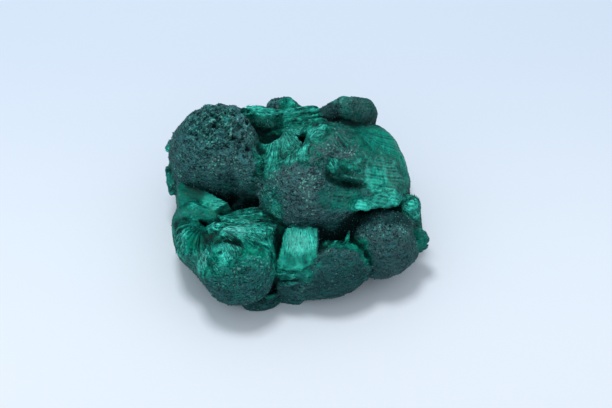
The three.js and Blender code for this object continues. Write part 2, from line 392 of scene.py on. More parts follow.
def lower_left_cup(clay):
    """The pinched crater in the large lower lobe, the pleated fold beside it and the fan of splinters."""
    clay.cut(ball((-21.3, -8.4, 16.4), (2.2, 0.55, 3), (14, 0, -32)), 0.3)
    clay.cut(rod([(-30.4, -5.6, 12.6), (-27.6, -6.6, 16.4), (-23.4, -7.4, 15.6)], [0.1, 0.25, 0.4]), 0.5)
    clay.cut(ball((-19.8, -12.2, 21.4), (2.8, 2.9, 2.5)), 2)
    clay.add(rod([(-21.8, -9.6, 15.2), (-20.4, -10.2, 17), (-18.6, -10.6, 18.2), (-17.2, -11.8, 18.6),
                  (-16.8, -13.6, 19.4)], [0.4, 0.8, 1, 0.9, 0.5]), 0.35)
    pivot = np.array((-18.6, -7, 17.3))
    for number, degrees in enumerate((14, 5, -4, -13, -22, -32, -43)):
        way = np.array((math.cos(math.radians(degrees)), math.sin(math.radians(degrees)), 0))
        length = 13.2 + 1.2 * math.sin(number * 2.3)
        end = pivot + way * length + (0, 0, -1.6 + 0.5 * math.sin(number * 1.7) + 0.25 * number)
        clay.add(blade(end, pivot + (0, 0, 0.15 * number), 1.9, 1.6, (0.1, -0.35, 1), 0.75, 2.2), 0.15)
    clay.add(blade((-7.6, -13, 19.4), (-17.6, -14.3, 22.3), 2.6, 1.3, (0.25, -0.35, 1), 0.8, 2.4), 0.15)
    clay.cut(rod([(-17.6, -15.1, 21.1), (-15.2, -16.6, 21.2), (-12, -18.6, 20.7)], [1.5, 1.2, 0.4]), 0.15)
    clay.cut(rod([(-19.2, -8.6, 19), (-17.2, -11.2, 20.4), (-14.6, -11.6, 20.8)], [0.7, 0.7, 0.2]), 0.3)
    clay.cut(ball((-12.6, -1.8, 12.6), (6, 2.2, 6.4), (0, 0, -6)), 0.8)
    clay.cut(ball((-9.4, -3, 11.5), (3, 1.8, 6), (0, 0, -20)), 0.8)
    clay.add(ball((-17, -0.4, 3.2), (6.5, 4.4, 4.6)), 1.5)
    outside, way_out = np.array((-23.9, -17.6, 7.8)), np.array((-0.746, -0.525, -0.41))
    clay.cut(ball(outside + 10 * way_out, 18).broken(outside, -way_out, 0.3, 66), 2.5)


def broken_block(clay):
    """The small block: a flat silky break on the left, dark skin on the right, a ragged rim behind."""
    skin = ball((8.2, -16, 8.8), (9.4, 5.8, 7.9), (0, -4, 8))
    clay.add(skin.chipped((((9, -12, 14.8), (0.1, 0.5, 1)), ((5, -15, 14.6), (-0.5, 0.2, 1))), 0.3, 8), 0.3)
    clay.add(ball((3.8, -15.6, 6), (8.4, 5.6, 7)), 1.8)
    block = ball((0.4, -14.6, 6), (9.5, 10.5, 15), (0, 0, 8))
    clay.add(block.chipped((((0.4, -14.9, 16), BLOCK_TOP), ((0, -10.4, 16), (0.04, 1, 0.2)),
                            ((5.1, -15, 15), (1, -0.14, 0.2)), ((-4.1, -15, 13), (-0.97, 0.22, 0.12)),
                            ((1, -20.4, 10), (-0.1, -1, -0.03)), ((4.4, -19, 13), (0.6, -0.8, 0.3)),
                            ((-5.2, -18, 5), (-1, -0.5, -0.1)), ((2.6, -19.6, 4), (0.75, -0.65, -0.25))),
                           0.12, 9), 0.15)
    clay.cut(rod([(-5.4, -19, 13.6), (-2.2, -20.2, 12.5), (1.4, -20.3, 12.6), (4.4, -18.8, 14.8),
                  (6.2, -15.6, 17.2)], [0.4, 0.55, 0.5, 0.4, 0.3]), 0.15)
    clay.add(blade((-3.6, -19.4, 10.4), (4, -20.6, 13), 1, 0.8, (0, -0.7, 0.7), 0.7), 0.2)
    clay.cut(rod([(-4, -20.8, 11), (0.6, -21.4, 11.4), (3, -20.9, 12.4)], [0.3, 0.45, 0.2]), 0.15)
    clay.add(blade((-3.8, -20.4, 8.4), (1.6, -21.5, 10.8), 0.9, 0.7, (0, -0.7, 0.7), 0.7), 0.3)
    rng = np.random.default_rng(44)
    root = np.array((9.4, -17.4, 10.6))
    for number in range(17):
        turn = math.radians(98 - 7.2 * number)
        length = 6.6 + rng.uniform(-0.5, 0.9)
        tip = root + length * np.array((math.cos(turn) * 1.1, math.sin(turn) * 0.62, math.sin(turn) * 0.72))
        foot = root + (tip - root) * 0.25
        clay.add(blade(foot, tip, rng.uniform(1, 1.5), 1.2, (0.2, -0.7, 0.7), 0.35, 2.2), 0.25)
    clay.add(blade((11.2, -14.6, 13), (12.6, -10.6, 17.2), 0.8, 0.6, (0.1, -0.7, 0.7), 0.5, 2.4), 0.2)
    for _ in range(9):
        at = np.array((rng.uniform(5.6, 10.4), -14.6, 14.2))
        tip = at + (rng.uniform(-0.8, 1.2), rng.uniform(1.4, 2.8), rng.uniform(0.8, 2))
        clay.add(blade(at, tip, 0.55, 0.4, (rng.uniform(-0.5, 0.5), -0.7, 0.7), 0.6, 2.2), 0.15)


def small_lobes(clay):
    """The smooth column, the knobbly nodule and the angular chip at the foot of the cup."""
    column = rod([(27.6, -2.2, 5), (26.8, -1.8, 17.4)], [2.9, 2.3])
    clay.add(column.broken((27, -1.8, 16.4), (-0.1, -0.2, 1), 0.1, 10), 0.3)
    rng = np.random.default_rng(41)
    middle = np.array([29.3, -8.2, 10.2])
    clay.add(ball(middle, (2, 2.2, 2.8)), 0.3)
    for way in unit(rng.normal(size=(26, 3))):
        size = rng.uniform(0.6, 1.15)
        clay.add(ball(middle + way * (1.5, 1.7, 2.3), size), 0.2)
    chip = ball((-8.4, -19.6, 2), (5, 3, 3.2), (0, 0, 12))
    clay.add(chip.chipped((((-8.6, -20.8, 3.4), (0.5, -0.4, 1)), ((-9, -22.3, 2), (-0.3, -1, 0.4))),
                          0.3, 81), 0.3)
    clay.add(blade((-7.4, -20.8, 3), (-4, -19.8, 4), 0.9, 0.5, (0.1, -0.8, 0.6), 0.5), 0.15)
    outside, way_out = np.array((24.6, -17, 7)), np.array((0.5, -0.682, -0.533))
    clay.cut(ball(outside + 9 * way_out, 14).broken(outside, -way_out, 0.3, 67), 3)


def set_down(clay):
    """Wears the underside flat."""
    clay.depth = np.maximum(clay.depth, -clay.places[..., 2])


def carve():
    clay = Clay()
    rough_out(clay)
    right_flank(clay)
    clay.roughen(7.5, 0.40, 20)
    dress_dome(clay)
    back_edge(clay)
    valley(clay)
    top_folds(clay)
    clay.roughen(3.4, 0.26, 21)
    lower_left_cup(clay)
    left_rim(clay)
    broken_block(clay)
    small_lobes(clay)
    clay.roughen(1.4, 0.12, 22)
    set_down(clay)
    return clay


def largest_shell(points, quads):
    """Drops loose crumbs and closed bubbles, and keeps the one outer skin."""
    label = np.arange(len(points))
    while True:
        low = label[quads].min(1)
        new = label.copy()
        for side in range(4):
            np.minimum.at(new, quads[:, side], low)
        new = new[new]
        if np.array_equal(new, label):
            break
        label = new
    names, sizes = np.unique(label, return_counts=True)
    keep = label == names[sizes.argmax()]
    renumber = np.cumsum(keep) - 1
    return points[keep], renumber[quads[keep[quads[:, 0]]]]


def corner_normals(points, quads):
    cross = np.cross(points[quads[:, 2]] - points[quads[:, 0]], points[quads[:, 3]] - points[quads[:, 1]])
    normal = np.zeros_like(points)
    for axis in range(3):
        normal[:, axis] = np.bincount(quads.ravel(), np.repeat(cross[:, axis], 4), len(points))
    return unit(normal)


# ---- how the stone grew

# The fibres of each lobe spread from its own middle. Zones of the surface differ: each has a middle, half
# sizes, its heart, which is the point that its fibres spread from (or None to keep the lobe's own), and a
# finish. One with faces only takes skin that looks that way. A later zone covers the earlier ones.
# The hearts that several zones share come first.
DISH = (-4.4, 17.8, 24.5)
FLANK = (19.5, 24, 32)
FLAP = (-44, 5, 16)
SPUR = (-19.6, -13.4, 21)
BLOCK = (1, 6, 30)
RIM = (7, -18, 8)
ZONES = [
    # the large dome and the plate beside it
    ((-19.5, 13, 26.5), (7, 6, 4), None, dict(crust=0.9, deep=0.3, speck=1)),
    ((-13, 12.6, 26), (3.4, 4, 3), (-13, 22, 27), dict(crust=0.75, grey=0.6, speck=0.6)),
    ((-17.5, 4, 24), (5, 2.4, 3), None, dict(crust=1, grey=0.5, speck=0.5)),
    ((-19, 1.8, 17), (9, 2.6, 4), None, dict(crust=1, deep=0.4, speck=-0.5)),
    ((-31.2, 14.2, 17), (1.2, 1.4, 1.4), None, dict(silk=0.8)),
    ((-30.5, 10.2, 15.6), (1.2, 1.2, 1.2), None, dict(silk=0.5)),
    ((-30.5, 7.6, 11), (3.4, 5, 6), (-30, 6, 0), dict(crust=0.45, silk=0.15)),
    ((-28.2, 5.6, 15.4), (1.1, 0.8, 0.8), None, dict(rust=0.7, crust=0.5)),
    ((-26.6, 3.4, 16.4), (1.3, 0.5, 0.8), None, dict(rust=0.75, crust=0.5)),
    # the valley between the domes
    ((-7, 3.5, 18.5), (3.5, 4.5, 5), None, dict(crust=0.4, deep=0.35)),
    ((-4, 2.4, 22.6), (4.4, 4.2, 3.4), None, dict(crust=0.6, silk=0.45, speck=0.6)),
    ((-5.4, -4, 20), (3.8, 5, 5), None, dict(crust=0.75, silk=0.35, deep=0.2, speck=0.5)),
    ((-3.6, 8, 22.5), (6.4, 7, 5), DISH, dict(silk=0.55)),
    ((-1.6, 10.6, 24.2), (3.8, 4.6, 2.6), DISH, dict(silk=0.8, grey=0.6)),
    # painted shade in the hollow above and left of the dish and, more lightly, in the dish
    ((-9, 16, 21), (3.2, 2.6, 4.4), (-8, 15, 34), dict(deep=1)),
    ((-6.2, 14.2, 21.4), (2.6, 2.5, 2.6), (-6, 14, 30), dict(deep=0.55)),
    ((-3.2, 16.4, 24.2), (1, 2, 1.4), (-4.4, 18.5, 24.5), dict(silk=0.7)),
    ((-13, 18.6, 24.6), (3.4, 2.4, 1.8), (-18, 16, 24), dict(silk=0.4, deep=0.25)),
    ((-8, 20.6, 24), (5.6, 1.9, 1.6), (-18, 20, 24), dict(silk=0.65, speck=-0.4)),
    ((-8, 17.8, 22.8), (3.8, 1.5, 1.8), (-8, 22, 26), dict(crust=0.4, grey=0.5)),
    ((-5.1, 25.4, 21), (2.7, 2.5, 3), (-5, 25, 17), dict(crust=1, grey=0.4)),
    ((-1.8, 24.4, 21), (2.8, 2.6, 2.6), (-2, 25, 16), dict(silk=0.3, crust=0.2)),
    ((2, 19.8, 23.8), (7, 4.4, 3), (-14, 20, 24), dict(silk=0.5, crust=0.3)),
    # the leaf patch and the folds below it
    ((5, 12.4, 26.4), (4.2, 4.2, 2.2), (2, 6, 27), dict(silk=0.3, grey=0.1)),
    ((5.1, 11, 26.6), (2.9, 2.4, 1.3), (2, 8, 27), dict(silk=0.75, grey=0.4, speck=-0.6)),
    ((1.6, 4.4, 27), (1.9, 4.8, 2.2), (3, 16, 26), dict(silk=0.6, grey=0.3)),
    ((-1.6, 3.4, 26), (1.7, 3.8, 2.6), (-2, 16, 24), dict(silk=0.3, crust=0.35, grey=0.4)),
    ((4.5, 4.4, 27.2), (1.6, 4.4, 2), (4, 16, 26), dict(crust=0.45, grey=0.9, silk=0.3)),
    ((10.5, 9.5, 25.6), (4.4, 4.6, 2.6), (6, 18, 22), dict(crust=0.5, grey=0.8, speck=0.2)),
    ((11, 4.6, 26), (5.5, 2.4, 2.4), (8, 14, 22), dict(crust=0.75, grey=1, silk=0.3, speck=0.6)),
    ((11.8, 1, 26.6), (4.8, 2.6, 2.4), (11, 14, 26), dict(silk=0.2, deep=0.35, crust=0.35)),
    # painted shade in the fold's groove
    ((10.4, -2.4, 25.8), (6.2, 2.5, 3), (11, 6, 26), dict(deep=0.9, crust=0.35)),
    ((12, -1.8, 26.2), (3.4, 0.9, 1.6), (9, 12, 24), dict(crust=0.5, grey=0.5)),
    ((11, -6.8, 24), (7, 3.2, 3.6), (10, 16, 26), dict(band=0.9, crust=0.45, grey=0.2, deep=0.35)),
    ((8.4, 1.2, 28), (1.1, 2.8, 1.4), (12, -6, 28), dict(silk=0.85)),
    ((-4.8, -7.3, 20.4), (1.5, 1.8, 2.2), (-1, -2, 20), dict(silk=0.7)),
    # painted shade under the belly
    ((4, -10, 16.5), (11, 3.2, 3.6), None, dict(deep=0.75, crust=0.8, speck=-0.3)),
    # the flank, its lip and the horn
    ((21, 9, 19.5), (7.4, 12, 8), (19.5, 18.5, 22), dict(silk=0.12, band=0.7, speck=-0.5)),
    ((20.4, 1.4, 22.4), (8.4, 6.2, 6), FLANK, dict(silk=0.4, band=0.9, grey=0.9, crust=0.12)),
    ((19, -0.8, 22.2), (2.6, 4.4, 3.4), FLANK, dict(silk=0.4, band=0.7, grey=0.2)),
    ((20.6, -4, 19.2), (8.8, 3, 3), FLANK, dict(silk=0.5, band=0.9, grey=0.1)),
    ((15.6, -7.2, 22), (3.2, 1.8, 2.2), FLANK, dict(silk=0.7, band=0.75)),
    ((18.8, -5.8, 21.2), (3.4, 2.2, 2.4), FLANK, dict(silk=0.6, band=0.8, grey=0.3)),
    ((11.2, 22, 24.6), (5.4, 3.6, 3.2), (2, 20, 23), dict(crust=0.5, grey=0.5, silk=0.3, band=0.3, deep=0.1)),
    ((16.4, 20.8, 22.6), (4.4, 5, 5.6), (2, 26, 27), dict(crust=0.5, grey=0.6, band=1, deep=0.75)),
    # painted shade under the horn's overhang
    ((8, 19.8, 23.8), (2.6, 3, 2.8), (4, 18, 22), dict(crust=0.9, deep=0.9, grey=0.4)),
    # the cup: flap, pleats, fan and patches
    ((-26.4, 1.4, 16.4), (2.6, 2.2, 1.6), (-34, 3, 16), dict(deep=0.45, silk=0.1)),
    ((-21.4, -1.6, 16.6), (9, 6, 3.2), FLAP, dict(silk=0.3, deep=0.05, speck=-0.8, faces=FLAP_TOP)),
    ((-18.6, -3.2, 16.6), (2.2, 1.9, 1.6), FLAP, dict(silk=0.8, speck=-0.9, faces=FLAP_TOP)),
    ((-24.6, 1, 17), (2.8, 2.4, 2), FLAP, dict(deep=0.75, speck=-0.9, faces=FLAP_TOP)),
    ((-23.4, -5.2, 15.2), (5.6, 1.9, 2.6), (-24, 3, 22), dict(crust=0.4, grey=0.8, deep=0.1, speck=-0.8)),
    ((-28.2, -1, 14), (2.6, 4.6, 4.4), None, dict(crust=0.4, deep=0.5, speck=-0.6)),
    ((-16, -15.5, 16.5), (12.5, 9.5, 7.5), (-21.8, -8.6, 16.5), dict(silk=0.22, crust=0.12, deep=0.1)),
    # painted shade in the pinch and the crater
    ((-22.4, -8.2, 14.8), (3.6, 1.4, 2.2), (-22, -7.6, 13), dict(deep=0.8, crust=0.3)),
    ((-20.2, -13, 18.6), (2.8, 3, 2.6), (-21.8, -8.6, 17), dict(deep=0.95, crust=0.3, grey=0.4)),
    ((-18.6, -10.6, 18.6), (3.4, 1.6, 1.4), (-23, -9, 17), dict(silk=0.6)),
    ((-26.8, -7.4, 15), (3.2, 1.5, 2.2), (-21.8, -8.6, 15.5), dict(deep=0.75, crust=0.4)),
    ((-26.6, -9.6, 15.6), (3, 1.9, 2.4), (-21.8, -8.6, 15.5), dict(deep=0.5, crust=0.3, silk=0.4)),
    ((-27, -12.6, 14), (2.6, 2.4, 3.6), (-21.8, -8.6, 16), dict(silk=0.8)),
    ((-23.8, -13.4, 16.4), (1.9, 2.6, 2.4), (-21.8, -8.6, 16.5), dict(deep=0.6)),
    ((-11, -9.2, 17.6), (8.4, 4.2, 2.6), (-19.6, -7, 18), dict(silk=0.55)),
    ((-11.6, -13.8, 20.6), (6.4, 2.4, 2.6), SPUR, dict(silk=1)),
    ((-14.4, -14.2, 21.6), (3.6, 1.2, 1.4), SPUR, dict(silk=1.6, speck=-0.6)),
    ((-15, -18.2, 20.8), (2.6, 3.4, 2.4), (-20.4, -8.6, 19), dict(silk=1, grey=0.25)),
    # painted shade in the gap under the spur
    ((-15.2, -16.7, 20.2), (3.4, 1.1, 1.6), SPUR, dict(deep=1.4)),
    ((-22.2, -19, 17), (2.2, 2.2, 2.4), (-21.8, -8.6, 18), dict(silk=0.95)),
    ((-18, -22.8, 18), (1.8, 1.6, 1.8), (-21, -8.6, 18), dict(silk=0.8)),
    ((-24.4, -18, 11.5), (4, 3.4, 5), None, dict(crust=0.55, grey=0.6, silk=0.4)),
    ((-11, -21.8, 16.4), (6.6, 3.2, 3.6), None, dict(silk=0.2, crust=0.55, deep=0.2, speck=0.8)),
    ((-13, -24.4, 10.5), (9.5, 4.6, 7), None, dict(crust=0.85, speck=0.1, deep=0.35, silk=0.1)),
    ((-27.6, -10.6, 17), (0.9, 0.5, 0.7), None, dict(rust=0.9, silk=0.3)),
    # the block
    ((0.2, -15, 15.6), (9, 9, 6), BLOCK, dict(silk=0.42, speck=-1, faces=BLOCK_TOP)),
    # painted sheen in the middle of the block's flat break
    ((0.8, -13.8, 16.8), (3.6, 2.8, 2.8), BLOCK, dict(silk=1.25, speck=-1, faces=BLOCK_TOP)),
    ((0.4, -20.4, 12), (5.4, 1.6, 2.2), (-12, -18, 9), dict(silk=0.55)),
    ((0.4, -21, 5.6), (6, 3, 5), None, dict(crust=0.75, grey=0.2, deep=0.15, speck=-0.4)),
    # painted shade on the block's steep right side, over its own dark skin
    ((9.6, -18.5, 9.5), (8.5, 5.5, 7.5), (9, -14, 30), dict(crust=0.95, grey=0.1, deep=0.6, speck=-1)),
    ((11.6, -13.4, 14.8), (6.2, 2.4, 2.6), RIM, dict(silk=0.3)),
    ((16.4, -15.6, 11.2), (2, 2.2, 3.6), RIM, dict(silk=0.3)),
    # the small lobes
    ((20.5, -9.6, 17.4), (5.4, 3.6, 2.8), None, dict(crust=0.9, grey=0.6, speck=0.5)),
    # painted shade under the lip
    ((18.6, -6.6, 16.6), (8.4, 3, 3.6), None, dict(crust=1, deep=1.6, speck=-0.8)),
    ((27.4, -2, 12), (3.4, 3.4, 7), (28.6, -1, -14), dict(silk=1)),
    ((29.3, -8.2, 10.2), (3.4, 3.6, 4.2), (31, -8, 11), dict(silk=0.1, crust=0.3, band=0.4, deep=0.3)),
    ((-8.4, -20.2, 2.4), (6.6, 4, 4.2), (-16, -21, 0), dict(crust=0.8, grey=0.3, deep=0.65, speck=-0.5)),
    ((-6.6, -21.2, 4.4), (2.2, 1.2, 0.9), (-14, -21, 5), dict(silk=0.5)),
]
FIBRE_SPREAD = 14.0

# How far each kind of relief moves the skin and how wide a growth band is, in millimetres, and the crater that
# the pleats run into.
GRAIN, FIBRE, BAND, PIT, PLEAT = 0.14, 0.17, 0.06, 0.55, 0.32
FULL_RELIEF = 0.3
BAND_WIDE = 1.15
PLEATS = 13
CRATER = (-22.0, -8.4, 15.4)


def growth_of(points, normals):
    """For each point: the direction that its fibres grew in, how far they have grown, and its finish."""
    apart = np.stack([lobe(name).distance(points) for name in LOBES], -1)
    near = np.exp(-np.clip(apart - apart.min(1, keepdims=True), 0, 6) / 0.5)
    near /= near.sum(1, keepdims=True)
    start = near @ np.array([at for at, *_ in LOBES.values()])
    finish = {}
    for kind in FINISHES:
        finish[kind] = near @ np.array([looks.get(kind, 0.0) for *_, looks in LOBES.values()])
    lying = np.zeros(len(points))
    facing = normals.copy()
    ragged = 0.24 * lumps(points, 3.0, 31) + 0.22 * lumps(points, 1.1, 32) + 0.14 * lumps(points, 0.6, 33)
    for at, radii, heart, looks in ZONES:
        inside = step(1.40, 0.60, np.linalg.norm((points - at) / np.array(radii), axis=1) + ragged)
        if "faces" in looks:
            inside *= step(0.80, 0.95, normals @ unit(np.array(looks["faces"], float)))
        lying += inside * ((heart is not None) - lying)
        if heart is not None:
            start += inside[:, None] * (np.array(heart) - start)
            facing += inside[:, None] * (unit((inside[:, None] * normals).sum(0)) - facing)
        for kind in FINISHES:
            finish[kind] = finish[kind] + inside * (looks.get(kind, 0.0) - finish[kind])
    away = points - start
    reach = np.linalg.norm(away, axis=1)
    rise = (away * facing).sum(1)
    return unit(away - (0.93 * lying * rise)[:, None] * facing), reach, finish


def rough_skin(points, normals, way, reach, finish):
    """How far the skin stands out at each corner: grains, ridges of fibre, growth bands, pits and pleats."""
    along = way * FIBRE_SPREAD
    slow = along + np.stack([reach * 0.04, reach * 0.03, -reach * 0.035], -1)
    fibres = lumps(slow, 0.9, 51) * 0.45 + lumps(slow, 0.5, 52) * 0.6
    grains = lumps(points, 1.5, 53) * 0.35 + lumps(points, 0.62, 54) * 0.65
    bands = np.sin(reach * (2 * math.pi / BAND_WIDE) + 0.9 * lumps(points, 3.5, 55))
    crust = finish["crust"]
    still = 1 + 0.75 * np.clip(finish["speck"], -1, 0)
    calm = 1 - 0.8 * np.clip(finish["band"], 0, 1)
    height = still * (crust * grains * GRAIN + (1 - crust) * fibres * calm * FIBRE)
    height = height + finish["band"] * bands * BAND
    crown = step(1.15, 0.7, np.linalg.norm((points - (-19, 13, 26)) / np.array([9, 8, 5]), axis=1))
    height -= crown * step(0.2, 0.55, lumps(points, 1.3, 56)) * PIT
    pinch = points - CRATER
    turn = np.arctan2(pinch[:, 1], pinch[:, 0])
    out = np.linalg.norm(pinch, axis=1)
    pleat = 1 - 2 * np.abs(np.sin(turn * PLEATS + 1.6 * lumps(points, 4, 57))) ** 0.7
    front = step(1.2, -0.6, pinch[:, 1]) * step(0.6, 2.2, out) * step(9.5, 5.0, out)
    height -= pleat * front * PLEAT
    return height


clay = carve()
points, quads = largest_shell(*clay.surface())
normals = corner_normals(points, quads)
if (points * normals).sum() < 0:
    quads, normals = quads[:, ::-1], -normals
way, reach, finish = growth_of(points, normals)
height = rough_skin(points, normals, way, reach, finish)
finish["hollow"] = 0.6 * clay.hollowness(points, 1.2) + 0.6 * clay.hollowness(points, 3.2)
finish["relief"] = height / FULL_RELIEF
points = points + normals * height[:, None]
points[:, 2] = np.maximum(points[:, 2], 0)


def put(name, data):
    made = bpy.data.objects.new(name, data)
    bpy.context.collection.objects.link(made)
    return made


def place_piece(name, corners, faces, numbers, vectors=None):
    """A mesh that rides with the stone, from corners in the layout's millimetres, with its attributes."""
    mesh = bpy.data.meshes.new(name)
    mesh.from_pydata((corners - LAYOUT_MIDDLE) * LAYOUT_SCALE * MM, [], faces)
    for kind, field, rows in (("FLOAT_VECTOR", "vector", vectors or {}), ("FLOAT", "value", numbers)):
        for key, values in rows.items():
            data = mesh.attributes.new(key, kind, "POINT").data
            data.foreach_set(field, values.astype(np.float32).ravel())
    piece = put(name, mesh)
    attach(piece, "root")
    return piece


def thin_out(piece, most):
    """Merges the corners of flat stretches until the mesh has no more than most triangles."""
    triangles = 2 * len(piece.data.polygons)
    if triangles > most:
        lighten = piece.modifiers.new("thin_out", "DECIMATE")
        lighten.ratio = most / triangles
        fine = piece.data
        graph = bpy.context.evaluated_depsgraph_get()
        piece.data = bpy.data.meshes.new_from_object(piece.evaluated_get(graph))
        piece.modifiers.remove(lighten)
        bpy.data.meshes.remove(fine)
    piece.data.shade_smooth()


def make_stone():
    numbers = {**finish, "reach": reach}
    stone = place_piece("malachite_stone", points, quads, numbers, {"growth": way * FIBRE_SPREAD})
    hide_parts("malachite_mass")
    thin_out(stone, MOST_TRIANGLES)
    return stone


# ---- loose grains and splinters

def pick_places(count, weight, seed):
    """Picks faces of the skin at random, by area times weight, and gives the first corner of each."""
    a, b, c, d = (points[quads[:, i]] for i in range(4))
    area = np.linalg.norm(np.cross(c - a, d - b), axis=1)
    chance = area * weight[quads[:, 0]] * (points[quads[:, 0], 2] > 0.6)
    rng = np.random.default_rng(seed)
    return quads[rng.choice(len(quads), count, p=chance / chance.sum()), 0], rng


def make_grains(count=14000):
    """Tiny crystals that stand out of the dark crust, each an uneven eight-sided grain."""
    rough = finish["crust"] * step(0.35, 0.7, finish["crust"]) * (1 - 0.6 * np.clip(finish["hollow"], 0, 1))
    at, rng = pick_places(count, rough + 0.01, 91)
    size = rng.uniform(0.07, 0.15, count) * np.where(rng.random(count) < 0.05, 1.9, 1.0)
    turn = unit(rng.normal(size=(count, 3)))
    side = unit(np.cross(turn, normals[at]) + 1e-6)
    other = np.cross(turn, side)
    axes = np.stack([turn, -turn, side, -side, other, -other], 1)
    stretch = rng.uniform(0.6, 1.3, (count, 6, 1))
    middles = points[at] + normals[at] * (size * rng.uniform(-0.1, 0.5, count))[:, None]
    corners = (middles[:, None] + axes * stretch * size[:, None, None]).reshape(-1, 3)
    one = np.array([(0, 2, 4), (0, 4, 3), (0, 3, 5), (0, 5, 2), (1, 4, 2), (1, 3, 4), (1, 5, 3), (1, 2, 5)])
    faces = (one[None] + 6 * np.arange(count)[:, None, None]).reshape(-1, 3)
    return place_piece("drusy_grains", corners, faces, {
        "tint": np.repeat(rng.random(count), 6), "grey": np.repeat(finish["grey"][at], 6)})


def make_splinters(count=3500):
    """Fine fibres lying in the silky breaks, each a thin three-sided needle, sunk at its root end."""
    fresh = step(0.4, 0.8, finish["silk"]) * (1 - finish["crust"]) * step(0.5, 0.1, finish["band"])
    lying = np.abs((way * normals).sum(1)) < 0.5
    at, rng = pick_places(count, fresh * lying, 92)
    normal = normals[at]
    along = way[at] - (way[at] * normal).sum(1)[:, None] * normal
    along = unit(along + 0.05 * rng.normal(size=along.shape) + 0.05 * normal)
    side = np.cross(normal, along)
    length = rng.uniform(0.7, 2.4, count)[:, None]
    wide = rng.uniform(0.04, 0.08, count)[:, None]
    middle = points[at] + normal * 0.02
    corners = np.stack([middle - along * length * 0.5 - normal * 0.12, middle + side * wide - normal * 0.06,
                        middle - side * wide - normal * 0.06, middle + normal * wide * 1.3,
                        middle + along * length * 0.5], 1).reshape(-1, 3)
    one = np.array([(0, 1, 3), (0, 3, 2), (0, 2, 1), (4, 3, 1), (4, 2, 3), (4, 1, 2)])
    faces = (one[None] + 5 * np.arange(count)[:, None, None]).reshape(-1, 3)
    # Fibres in hollows and darkened zones carry that darkness, which their finish paints as shade.
    return place_piece("silky_splinters", corners, faces, {
        "tint": np.repeat(rng.random(count), 5),
        "deep": np.repeat(np.maximum(finish["deep"][at], np.clip(finish["hollow"][at], 0, 1)), 5)})


# ---- finishes

class Value:
    """What one socket gives, carried between nodes. Arithmetic on a number adds Math nodes."""

    def __init__(self, finish, socket):
        self.finish, self.socket = finish, socket

    def maths(self, operation, *values):
        return self.finish.node("ShaderNodeMath", {"operation": operation}, dict(enumerate(values)))

    def __add__(self, other):
        return self.maths("ADD", self, other)

    def __mul__(self, other):
        return self.maths("MULTIPLY", self, other)

    def __sub__(self, other):
        return self.maths("SUBTRACT", self, other)

    def __rsub__(self, other):
        return self.maths("SUBTRACT", other, self)

    def __pow__(self, other):
        return self.maths("POWER", self, other)

    __radd__, __rmul__ = __add__, __mul__


class Finish:
    """A material while it is being mixed."""

    def __init__(self, name):
        self.material = bpy.data.materials.new(name)
        self.material.use_nodes = True
        self.tree = self.material.node_tree
        self.tree.nodes.clear()

    def node(self, kind, settings=None, sockets=None, out=0):
        """Adds a node: its settings, then the values or links of its sockets. Gives one output, or none."""
        made = self.tree.nodes.new(kind)
        for name, value in (settings or {}).items():
            setattr(made, name, value)
        by_name = {s.identifier: s for s in made.inputs}
        for name, value in (sockets or {}).items():
            socket = made.inputs[name] if isinstance(name, int) else by_name.get(name) or made.inputs[name]
            if isinstance(value, Value):
                self.tree.links.new(value.socket, socket)
            else:
                socket.default_value = (*value, 1) if socket.type == "RGBA" and len(value) == 3 else value
        if out is None:
            return None
        if isinstance(out, int):
            return Value(self, made.outputs[out])
        return Value(self, next(s for s in made.outputs if s.identifier == out or s.name == out))

    def place(self):
        return self.node("ShaderNodeNewGeometry", out="Position")

    def scaled(self, vector, sizes):
        return self.node("ShaderNodeVectorMath", {"operation": "MULTIPLY"}, {0: vector, 1: sizes})

    def attribute(self, name, out="Fac"):
        return self.node("ShaderNodeAttribute", {"attribute_name": name}, out=out)

    def noise(self, vector, scale, detail=2.0, rough=0.5, w=None):
        sockets = {"Vector": vector, "Scale": scale, "Detail": detail, "Roughness": rough}
        if w is not None:
            sockets["W"] = w
        return self.node("ShaderNodeTexNoise", {"noise_dimensions": "3D" if w is None else "4D"}, sockets)

    def rise(self, value, low, high):
        """0 below low, 1 above high."""
        return self.node("ShaderNodeMapRange", {"interpolation_type": "SMOOTHSTEP"},
                         {"Value": value, "From Min": low, "From Max": high})

    def mix(self, amount, first, second, blend="MIX"):
        return self.node("ShaderNodeMix", {"data_type": "RGBA", "blend_type": blend},
                         {"Factor_Float": amount, "A_Color": first, "B_Color": second}, out="Result_Color")

    def done(self, sockets):
        """The finished material, from what its surface shader is given."""
        shader = self.node("ShaderNodeBsdfPrincipled", None, sockets)
        self.node("ShaderNodeOutputMaterial", None, {"Surface": shader}, None)
        return self.material


SHEEN = 0.06


